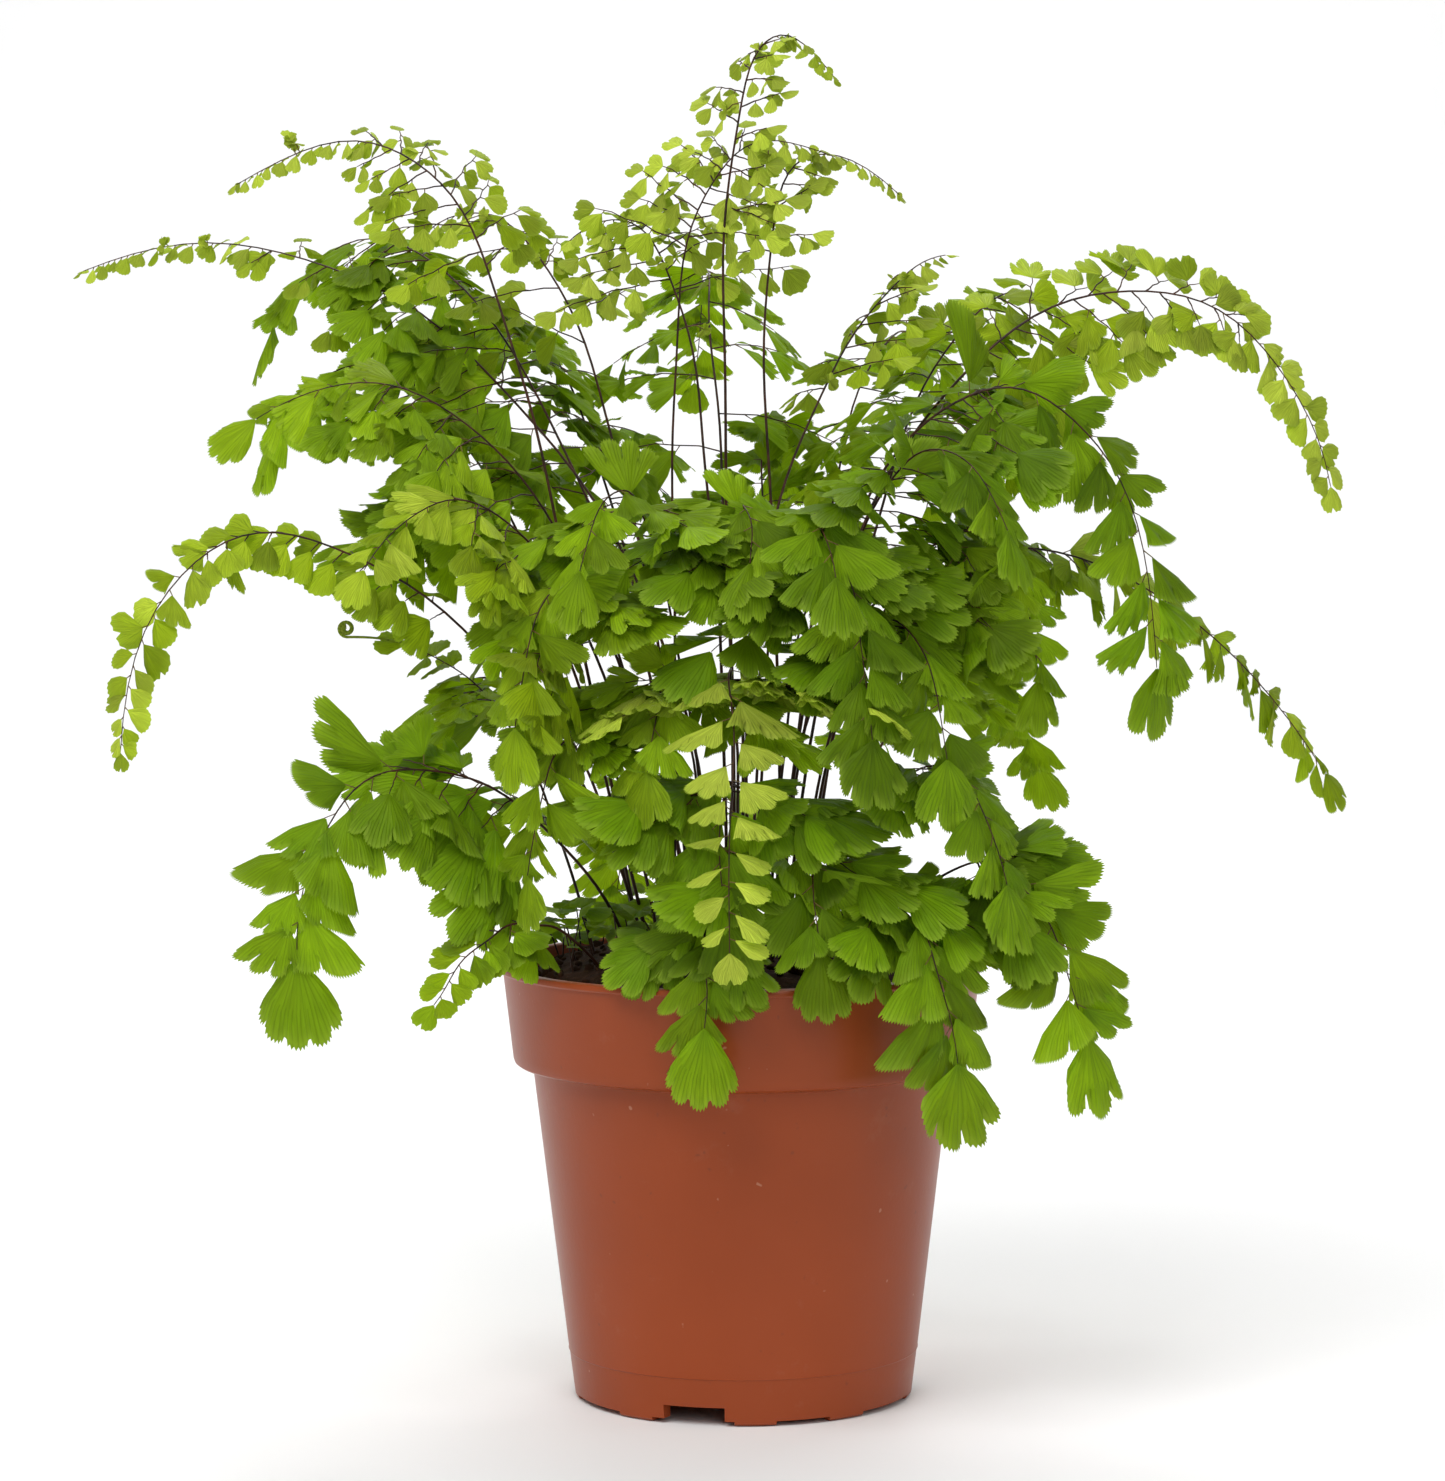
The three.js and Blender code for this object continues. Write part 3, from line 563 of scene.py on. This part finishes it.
class Growth:
    """Gathers one frond's leaflets and wires, then turns them into one piece."""

    def __init__(self, name):
        self.name = name
        self.bm = bmesh.new()
        self.bm.loops.layers.uv.new("UVMap")
        self.tone = self.bm.verts.layers.float.new("tone")
        self.age = self.bm.verts.layers.float.new("age")
        self.wires = bpy.data.curves.new(name + "_wires", "CURVE")
        self.wires.dimensions = "3D"
        self.wires.bevel_depth = 1
        self.wires.bevel_resolution = 1
        self.wires.use_fill_caps = True
        for material in GREENERY:
            self.wires.materials.append(material)

    def wire(self, spots, radii, kind):
        """A wire through the spots, by its radius at both ends. kind is DARK, PALE or GREEN."""
        thick, thin = radii
        spline = self.wires.splines.new("POLY")
        spline.material_index = kind
        spline.points.add(len(spots) - 1)
        for i, (point, spot) in enumerate(zip(spline.points, spots)):
            point.co = (*spot, 1)
            point.radius = thick + (thin - thick) * i / (len(spots) - 1)

    def leaf(self, foot, heading, facing, size, age, forward, *keys):
        """One leaflet: foot is where its own stalk ends.

        forward is where its rib goes on to. It is None for the leaflet at the rib's end.
        """
        along = heading.normalized()
        upper = (facing - along * facing.dot(along)).normalized()
        across = upper.cross(along)
        hand = 1 if forward is None or across.dot(forward) > 0 else -1
        large = end_leaflets if forward is None else side_leaflets
        forms = (large if size > LARGE_LEAFLET else small_leaflets)[hand]
        form = forms[int(draw(*keys, 11) * len(forms)) % len(forms)]
        wide = between(0.92, 1.12, *keys, 12)
        start = len(self.bm.verts)
        self.bm.from_mesh(form)
        self.bm.verts.ensure_lookup_table()
        fresh = self.bm.verts[start:]
        turn = Matrix((along * size, across * size * wide, upper * size)).transposed().to_4x4()
        bmesh.ops.transform(self.bm, matrix=Matrix.Translation(foot) @ turn, verts=fresh)
        tone = draw(*keys, 13)
        for v in fresh:
            v[self.tone] = tone
            v[self.age] = age

    def piece(self, slot, nodes=()):
        """Leaflets and wires as one finished piece, which stands for the nodes."""
        for face in self.bm.faces:
            face.material_index = GREEN
        carrier = bpy.data.objects.new("wires", self.wires)
        bpy.context.collection.objects.link(carrier)
        ready = carrier.evaluated_get(bpy.context.evaluated_depsgraph_get())
        tubes = bpy.data.meshes.new_from_object(ready)
        self.bm.from_mesh(tubes)
        bpy.data.objects.remove(carrier)
        bpy.data.meshes.remove(tubes)
        bpy.data.curves.remove(self.wires)
        bmesh.ops.scale(self.bm, vec=(MM, MM, MM), verts=self.bm.verts)
        return show(self.name, self.bm, GREENERY, nodes)


# Fronds
# YOUNG_HANG: how much young leaflets dangle. SPRIG_DROOP and YOUNG_DROOP: how much sprigs bend down.
# LOWEST: how steeply a sprig may set off downwards. TIP_SHARE: the share of the arch past which no
# sprig stands. TAIL_STEP: a tail's steps between leaflets as a share of a sprig's. LEAF_STALK: a
# leaflet's own stalk as a share of its length.
YOUNG_HANG = 0.22
SPRIG_DROOP = 0.42
YOUNG_DROOP = 0.1
LOWEST = -0.5
TIP_SHARE = 0.81
TAIL_STEP = 0.82
LEAF_STALK = 0.15

# Wires, by their radius at the foot and at the end, in millimetres.
STALK_RADII = (0.5, 0.12)
RIB_RADII = (0.22, 0.12)
LEAF_STALK_RADII = (0.16, 0.12)
BUD_RADII = (0.16, 0.14)
CROZIER_RADII = (0.24, 0.8)
SEEDLING_RADII = (0.24, 0.14)

# Steps along a stalk, a sprig's rib and a tail. The keys keep the draws of a tail, and of the leaflet
# at a rib's end, apart from the others.
STALK_STEPS = 40
RIB_STEPS = 6
TAIL_STEPS = 10
TAIL_KEY = 50
END_KEY = 97

# Fronds that end in a rolled-up tip, its radius in millimetres, and how many degrees each of its
# steps turns.
CROZIERS = ("left_curled",)
CROZIER_RADIUS = 2.1
CROZIER_STEPS = 24
CROZIER_TURN = 22
THREAD_STEPS = 8

# Tight buds on a young frond.
BUDS = 3
BUD_LEAFLETS = 7


def leafed(growth, frond, spots, facing, leaf, age, shrink, first, step, *keys):
    """Leaflets on short stalks to either side of a rib through the spots, and one at its end.

    step is the way from one to the next in leaf lengths, and shrink is how much smaller they get.
    """
    hang = YOUNG_HANG if frond.young else 0.0
    lengths = [0.0]
    for before, after in zip(spots, spots[1:]):
        lengths.append(lengths[-1] + (after - before).length)
    whole = lengths[-1]

    def along(reach):
        for i in range(len(spots) - 1):
            if reach <= lengths[i + 1] or i == len(spots) - 2:
                run = lengths[i + 1] - lengths[i]
                share = (reach - lengths[i]) / run
                return spots[i].lerp(spots[i + 1], share), (spots[i + 1] - spots[i]).normalized()

    def outer(reach):
        return (reach - first) / max(whole - first, 1)

    places = []
    reach = whole - 0.45 * leaf * (1 - shrink)
    while reach > first:
        places.append(reach)
        reach -= step * leaf * (1 - shrink * outer(reach)) * between(0.8, 1.2, *keys, len(places), 7)
    for j, reach in enumerate(places):
        spot, forward = along(reach)
        side = 1 if (j + int(keys[0]) + int(keys[-1])) % 2 else -1
        across = facing.cross(forward).normalized()
        lean = math.radians(frond.habit["lean"]) + between(-0.25, 0.25, *keys, j, 1)
        heading = forward * math.cos(lean) + across * (side * math.sin(lean))
        heading = (heading - UP * between(hang, 3 * hang + 0.35, *keys, j, 2)).normalized()
        size = leaf * (1 - shrink * outer(reach)) * between(0.8, 1.18, *keys, j, 3)
        loose = 0.55 + hang
        tilt = facing + across * between(-loose, loose, *keys, j, 4)
        tilt = tilt + forward * between(-loose, loose, *keys, j, 5)
        foot = spot + heading * (LEAF_STALK * size)
        growth.wire((spot, foot + heading * (0.03 * size)), LEAF_STALK_RADII, PALE)
        own_age = age + between(-0.15, 0.15, *keys, j, 6)
        growth.leaf(foot, heading, tilt, size, own_age, forward, *keys, j)
    spot, forward = along(whole)
    tilt = facing + facing.cross(forward) * between(-0.25, 0.25, *keys, END_KEY, 4)
    size = leaf * (1 - shrink) * between(0.98, 1.12, *keys, END_KEY, 3)
    growth.leaf(spot, forward - UP * (0.5 * hang), tilt, size, age, None, *keys, END_KEY)


def sprig(growth, frond, seed, k, share, end):
    """A side sprig: its rib springs from the stalk, bends down a little and carries leaflets."""
    habit = frond.habit
    t = habit["bare"] + (end - habit["bare"]) * share
    along, across = frond.face(t)[:2]
    side = 1 if (k + seed) % 2 else -1
    lean = math.radians(between(44, 68, seed, k, 1))
    heading = along * math.cos(lean) + across * (side * math.sin(lean))
    heading -= UP * between(0.05, 0.45, seed, k, 2)
    heading.z = min(max(heading.z, LOWEST), habit["steep"])
    heading.normalize()
    length = habit["reach"] * frond.spread * (1 - 0.7 * share) * between(0.7, 1.15, seed, k, 3)
    leaf = frond.size * (1 - 0.3 * share)
    facing = frond.facing(t) + across * between(-0.3, 0.3, seed, k, 4)
    facing = (facing - heading * facing.dot(heading)).normalized()
    sideways = facing.cross(heading)
    swerve = between(-0.22, 0.22, seed, k, 5)
    droop = YOUNG_DROOP if frond.young else SPRIG_DROOP
    foot = frond.spot(t)
    reach = length + leaf
    spots = []
    for i in range(RIB_STEPS + 1):
        out = length * i / RIB_STEPS
        zigzag = 0.012 * length * (-1) ** i * (0 < i < RIB_STEPS)
        spots.append(foot + heading * out - UP * (droop * out * out / reach)
                     + sideways * (swerve * out * out / reach + zigzag))
    growth.wire(spots, RIB_RADII, DARK)
    age = frond.age - 0.12 * share
    leafed(growth, frond, spots, facing, leaf, age, 0.1, 0.2 * length, habit["step"], seed, k)


def grow(frond, seed):
    """A frond's whole piece: its stalk, side sprigs and leafy tail, and what its tip still holds."""
    growth = Growth("frond_" + frond.name + "_leaves")
    start, scale, shrink, last = frond.habit["tail"]
    end = min(start + 0.06, TIP_SHARE)
    stalk = [frond.spot(last * i / STALK_STEPS) for i in range(STALK_STEPS + 1)]
    growth.wire(stalk, STALK_RADII, DARK)
    count = round(frond.sprigs * frond.habit["full"]) + 1
    for k in range(count):
        sprig(growth, frond, seed, k, k / (count - 1), end)
    tail = [frond.spot(start + (last - start) * i / TAIL_STEPS) for i in range(TAIL_STEPS + 1)]
    facing = frond.facing((1 + start) / 2)
    age = frond.age - (0.1 if frond.old else 0.18)
    leaf = frond.size * scale
    step = TAIL_STEP * frond.habit["step"]
    leafed(growth, frond, tail, facing, leaf, age, shrink, 1.0, step, seed, TAIL_KEY)
    if frond.name in CROZIERS:
        crozier(growth, frond)
    if frond.young:
        for k in range(BUDS):
            bud(growth, frond, seed, k)
    return growth.piece(slot_of(frond), ("frond_" + frond.name,))


def crozier(growth, frond):
    """A green thread past the last leaflet, and at its end a young tip that is still rolled up."""
    last = frond.habit["tail"][3]
    middle = frond.spot(1) + UP * CROZIER_RADIUS
    outward = at(frond.bearing, 1, 0)
    spots = [frond.spot(last + (1 - last) * i / THREAD_STEPS) for i in range(THREAD_STEPS)]
    for i in range(CROZIER_STEPS + 1):
        turn = math.radians(-90 + CROZIER_TURN * i)
        radius = CROZIER_RADIUS * (1 - 0.7 * i / CROZIER_STEPS)
        spots.append(middle + outward * (radius * math.cos(turn)) + UP * (radius * math.sin(turn)))
    growth.wire(spots, CROZIER_RADII, GREEN)


def bud(growth, frond, seed, k):
    """A tight bunch of leaflets that haven't opened yet, on a short stalk of its own."""
    t = between(0.6, 0.95, seed, k, 21)
    across, upper = frond.face(t)[1:]
    foot = frond.spot(t)
    reach = across * between(-5, 5, seed, k, 22) + upper * between(1, 4, seed, k, 23)
    middle = foot + reach - UP * between(0, 4, seed, k, 24)
    growth.wire((foot, foot.lerp(middle, 0.6) + UP * 0.6, middle), BUD_RADII, PALE)
    for i in range(BUD_LEAFLETS):
        heading = Vector([between(-1, 1, seed, k, i, axis) for axis in range(3)])
        facing = Vector([between(-1, 1, seed, k, i, 5 + axis) for axis in range(3)])
        growth.leaf(middle, heading, facing, between(1.8, 3.0, seed, k, i, 9), 0.0, None, seed, k, i)


LEAF_SLOTS = ("leaf_palest", "leaf_pale", "leaf_mid", "leaf_deep", "leaf_darkest")


def slot_of(frond):
    """The record's slot for a frond, by the length of its leaves as its node has it."""
    return LEAF_SLOTS[math.floor(min(1, max(0, frond.grade)) * (len(LEAF_SLOTS) - 1) + 0.5)]


for number, one in enumerate(fronds):
    grow(one, number)


# Pot
# Radius and height in millimetres, from under the floor, up the outside and down the inside.
POT_PROFILE = [
    (0, 0), (12, 0), (12, 5), (38.8, 5), (38.8, 0.25), (39.1, 0), (41.4, 0), (41.9, 0.5),
    (43.25, 11.2), (43.5, 11.5), (43.42, 11.9), (51.7, 81.2), (52.1, 82.2), (53.2, 82.6),
    (55.6, 83.0), (56.3, 83.5), (56.62, 84.4), (56.8, 86), (59.0, 105.4), (59.2, 106.0), (59.9, 106.1),
    (60.25, 106.5), (60.3, 107.1), (60.1, 107.7), (59.5, 108), (58.3, 108), (57.8, 107.7),
    (57.6, 106), (55.1, 85.2), (54.6, 84.3), (51.2, 83.9), (50.3, 83.2), (40.7, 6.5), (0, 6.5),
]
POT_STEPS = 144

# In degrees. A foot takes up FOOT_HALF on each side of its bearing.
NOTCH_BEARINGS = (253.3, 13.3, 133.3)
FOOT_BEARINGS = [231 + third * 120 + offset for third in range(3) for offset in (0, 43, 76)]
FOOT_HALF = 7

# Blocks to cut with, in millimetres and degrees: a notch in the foot ring, a hole in the floor next
# to it, and the shallow gap between two feet.
NOTCH = dict(half=10.5, inner=35, outer=45, low=-1, high=4.4)
FLOOR_HOLE = dict(half=12.5, inner=28, outer=36, low=4, high=8)
FOOT_GAP = dict(inner=37, outer=45, low=-1, high=1)


def spun(profile, steps=POT_STEPS):
    """A closed solid turned from a profile of [radius, height] that starts and ends on the axis."""
    bm = bmesh.new()
    line = [bm.verts.new((radius * MM, 0, height * MM)) for radius, height in profile]
    edges = [bm.edges.new(pair) for pair in zip(line, line[1:])]
    bmesh.ops.spin(bm, geom=line + edges, axis=(0, 0, 1), cent=(0, 0, 0), angle=math.tau,
                   steps=steps, use_merge=True)
    bmesh.ops.remove_doubles(bm, verts=bm.verts, dist=1e-6)
    bmesh.ops.recalc_face_normals(bm, faces=bm.faces)
    return bm


def wedge(bearing, half, inner, outer, low, high, steps=8):
    """A block between two bearings, radii and heights, in millimetres, as an object to cut with."""
    bm = bmesh.new()
    corners = [(inner, low), (outer, low), (outer, high), (inner, high)]
    start = Matrix.Rotation(math.radians(bearing - half), 4, "Z")
    ring = [bm.verts.new(start @ (Vector((radius, 0, height)) * MM)) for radius, height in corners]
    face = bm.faces.new(ring)
    bmesh.ops.spin(bm, geom=[face, *ring, *face.edges], axis=(0, 0, 1), cent=(0, 0, 0),
                   angle=math.radians(2 * half), steps=steps)
    bmesh.ops.remove_doubles(bm, verts=bm.verts, dist=1e-7)
    bmesh.ops.recalc_face_normals(bm, faces=bm.faces)
    mesh = bpy.data.meshes.new("cutter")
    bm.to_mesh(mesh)
    bm.free()
    cutter = bpy.data.objects.new("cutter", mesh)
    bpy.context.collection.objects.link(cutter)
    return cutter


def cut(bm, cutters):
    """The bmesh less every cutter, which is then removed."""
    mesh = bpy.data.meshes.new("blank")
    bm.to_mesh(mesh)
    blank = bpy.data.objects.new("blank", mesh)
    bpy.context.collection.objects.link(blank)
    for cutter in cutters:
        step = blank.modifiers.new("cut", "BOOLEAN")
        step.operation = "DIFFERENCE"
        step.solver = "EXACT"
        step.object = cutter
    ready = blank.evaluated_get(bpy.context.evaluated_depsgraph_get())
    result = bpy.data.meshes.new_from_object(ready)
    bm.clear()
    bm.from_mesh(result)
    for extra in (blank, *cutters):
        bpy.data.objects.remove(extra)
    return bm


def make_pot():
    """The pot: turned in one, then cut through where water drains."""
    cutters = [wedge(bearing, **NOTCH) for bearing in NOTCH_BEARINGS]
    cutters += [wedge(bearing, **FLOOR_HOLE) for bearing in NOTCH_BEARINGS]
    following = FOOT_BEARINGS[1:] + [FOOT_BEARINGS[0] + 360]
    for bearing, after in zip(FOOT_BEARINGS, following):
        half = (after - bearing) / 2 - FOOT_HALF
        cutters.append(wedge((bearing + after) / 2, half, **FOOT_GAP))
    return show("nursery_pot", cut(spun(POT_PROFILE), cutters), (POT,), ("pot",), sharp=28)


make_pot()


# Soil
# Heights and radii in millimetres. SOIL_SIDE is a profile just inside the pot's wall.
SOIL_MIDDLE = 111
SOIL_LOWEST = 101.5
SOIL_REACH = 56.4
SOIL_RINGS = 20
SOIL_STEPS = 96
SOIL_SIDE = [(0, 6.8), (40.5, 6.8), (50.0, 83.4), (54.8, 85.5)]
CRUMBS = 420
CRUMB_REACH = 54.5


def soil_mean(out):
    """The soil's mean height at a distance from the pot's axis: heaped up, and low at the rim."""
    return SOIL_EDGE + (SOIL_MIDDLE - SOIL_EDGE) * (1 - (out / SOIL_REACH) ** 4)


def lumps(spot):
    """How far the soil's surface stands above its mean, in millimetres, at a spot on it."""
    return 1.3 * noise.noise(spot * 0.11) + 0.9 * noise.noise(spot * 0.33) + 0.5 * noise.noise(spot * 0.9)


def soil_height(x, y):
    """The height of the soil's surface at a place, in millimetres."""
    return soil_mean(min(math.hypot(x, y), SOIL_REACH)) + lumps(Vector((x, y, 0)))


def make_soil():
    """Peat up to the crown, with loose crumbs on it."""
    rings = [SOIL_REACH * (1 - i / SOIL_RINGS) for i in range(SOIL_RINGS + 1)]
    bm = spun(SOIL_SIDE + [(out, soil_mean(out)) for out in rings], SOIL_STEPS)
    for v in bm.verts:
        if v.co.z > (SOIL_EDGE - 0.1) * MM:
            x, y = v.co.x / MM, v.co.y / MM
            v.co.z = max(v.co.z + lumps(Vector((x, y, 0))) * MM, SOIL_LOWEST * MM)
    for i in range(CRUMBS):
        spot = at(360 * draw(i, 1), CRUMB_REACH * math.sqrt(draw(i, 2)), 0)
        size = between(0.5, 1.0, i, 3) + 1.5 * draw(i, 4) ** 5
        spot.z = soil_height(spot.x, spot.y) + 0.2 * size
        place = Matrix.Translation(spot * MM)
        turn = Matrix.Rotation(math.tau * draw(i, 5), 4, (draw(i, 6), draw(i, 7), 0.5))
        shape = Matrix.Diagonal((1.2, between(0.7, 1.1, i, 8), between(0.5, 0.9, i, 9), 1))
        bmesh.ops.create_icosphere(bm, subdivisions=1, radius=size * MM, matrix=place @ turn @ shape)
    return show("peat_with_crumbs", bm, (SOIL,), ("soil",), sharp=50)


make_soil()


# Seedlings
SEEDLINGS = 16


def make_seedlings():
    """Small young plants that have come up between the crown and the rim, on the left."""
    growth = Growth("seedlings")
    for i in range(SEEDLINGS):
        root = at(between(125, 235, i, 61), between(26, 50, i, 62), 0)
        root.z = soil_height(root.x, root.y) - 1
        lean = Vector((between(-0.6, 0.5, i, 63), between(-0.6, 0.4, i, 64), 1)).normalized()
        height = between(5, 17, i, 65)
        top = root + lean * height
        middle = root.lerp(top, 0.5) + UP * 0.1 * height
        growth.wire((root, middle, top), SEEDLING_RADII, DARK)
        for k, spot in enumerate((top, middle, top, top)):
            turn = between(0, 360, i, k, 66)
            heading = at(turn, 1, between(-0.2, 0.5, i, k, 67))
            facing = Vector((between(-0.4, 0.4, i, k, 68), -0.5, between(0.5, 1, i, k, 69)))
            size = between(3.5, 7.5, i, k, 70)
            age = between(0.5, 1.0, i, k, 71)
            growth.leaf(spot + heading * 0.6, heading, facing, size, age, None, i, k)
    return growth.piece("leaf_deep")


make_seedlings()


# Camera, light and floor
# In metres. The photograph's width and the camera's focal length are in its pixels.
CAMERA_SPOT = Vector((0, -1.2, 0.255))
CAMERA_TARGET = Vector((-0.00443, 0, 0.1624))
CAMERA_ROLL = math.radians(-0.28)
SENSOR = 36
FOCAL_PIXELS = 4876
PHOTO_WIDTH = 1445
FLOOR_HALF = 4
SWEEP_START = 1.6
SWEEP_RADIUS = 0.8

# name, place, what it points at, width, height and power
LIGHTS = [
    ("overhead", (-0.5, -0.9, 1.4), (0, 0, 0.2), 1.0, 1.0, 18.5),
    ("front", (0.5, -1.7, 0.9), (0, 0, 0.15), 0.9, 0.9, 8),
    ("left_box", (-1.3, -0.1, 0.5), (0, 0, 0.15), 0.22, 1.2, 2.2),
    ("right_box", (1.3, 0.0, 0.5), (0, 0, 0.15), 0.22, 1.2, 1.8),
    ("back", (0.5, 1.2, 1.0), (0, 0, 0.25), 0.9, 0.9, 4),
    ("backdrop", (0, 1.3, 2.6), (0, 2.4, 0.9), 1.4, 1.4, 45),
]


def make_camera():
    """A camera at the photograph's viewing angle, with its slight roll."""
    lens = bpy.data.cameras.new("view")
    lens.sensor_fit = "HORIZONTAL"
    lens.sensor_width = SENSOR
    lens.lens = SENSOR * FOCAL_PIXELS / PHOTO_WIDTH
    lens.clip_start = 0.05
    lens.clip_end = 50
    camera = bpy.data.objects.new("view", lens)
    bpy.context.collection.objects.link(camera)
    forward = (CAMERA_TARGET - CAMERA_SPOT).normalized()
    right = forward.cross(UP).normalized()
    up = right.cross(forward)
    level = Matrix((right, up, -forward)).transposed()
    camera.matrix_world = Matrix.Translation(CAMERA_SPOT) @ (
        level @ Matrix.Rotation(CAMERA_ROLL, 3, "Z")).to_4x4()
    bpy.context.scene.camera = camera


def area_light(name, spot, target, width, height, power):
    """A soft box that points at its target."""
    lamp = bpy.data.lights.new(name, "AREA")
    lamp.shape = "RECTANGLE"
    lamp.size = width
    lamp.size_y = height
    lamp.energy = power
    light = bpy.data.objects.new(name, lamp)
    bpy.context.collection.objects.link(light)
    spot = Vector(spot)
    aim = (Vector(target) - spot).to_track_quat("-Z", "Y")
    light.matrix_world = Matrix.Translation(spot) @ aim.to_matrix().to_4x4()


def make_floor():
    """A pale floor that sweeps up behind the plant."""
    bm = bmesh.new()
    corner = []
    for degrees in range(0, 91, 6):
        turn = math.radians(degrees)
        corner.append((SWEEP_START + SWEEP_RADIUS * math.sin(turn), SWEEP_RADIUS * (1 - math.cos(turn))))
    profile = [(-FLOOR_HALF, 0), *corner, (SWEEP_START + SWEEP_RADIUS, FLOOR_HALF)]
    line = [bm.verts.new((-FLOOR_HALF, y, z)) for y, z in profile]
    edges = [bm.edges.new(pair) for pair in zip(line, line[1:])]
    side = bmesh.ops.extrude_edge_only(bm, edges=edges)["geom"]
    moved = [item for item in side if isinstance(item, bmesh.types.BMVert)]
    bmesh.ops.translate(bm, vec=(2 * FLOOR_HALF, 0, 0), verts=moved)
    bmesh.ops.recalc_face_normals(bm, faces=bm.faces)
    for face in bm.faces:
        face.smooth = True
    mesh = bpy.data.meshes.new("floor")
    bm.to_mesh(mesh)
    bm.free()
    m = Nodes("pale_floor")
    mesh.materials.append(m.finish(m.shader(Base_Color=grey(0.9), Roughness=0.7).outputs[0]))
    floor = bpy.data.objects.new("floor", mesh)
    floor.location.z = -0.0003
    bpy.context.collection.objects.link(floor)


def make_world():
    """Weak white light from all around."""
    world = bpy.data.worlds.new("studio")
    world.use_nodes = True
    world.node_tree.nodes["Background"].inputs[0].default_value = (1, 1, 1, 1)
    world.node_tree.nodes["Background"].inputs[1].default_value = 0.2
    bpy.context.scene.world = world


bpy.context.scene.view_settings.view_transform = "Standard"
make_camera()
make_world()
make_floor()
for light in LIGHTS:
    area_light(*light)
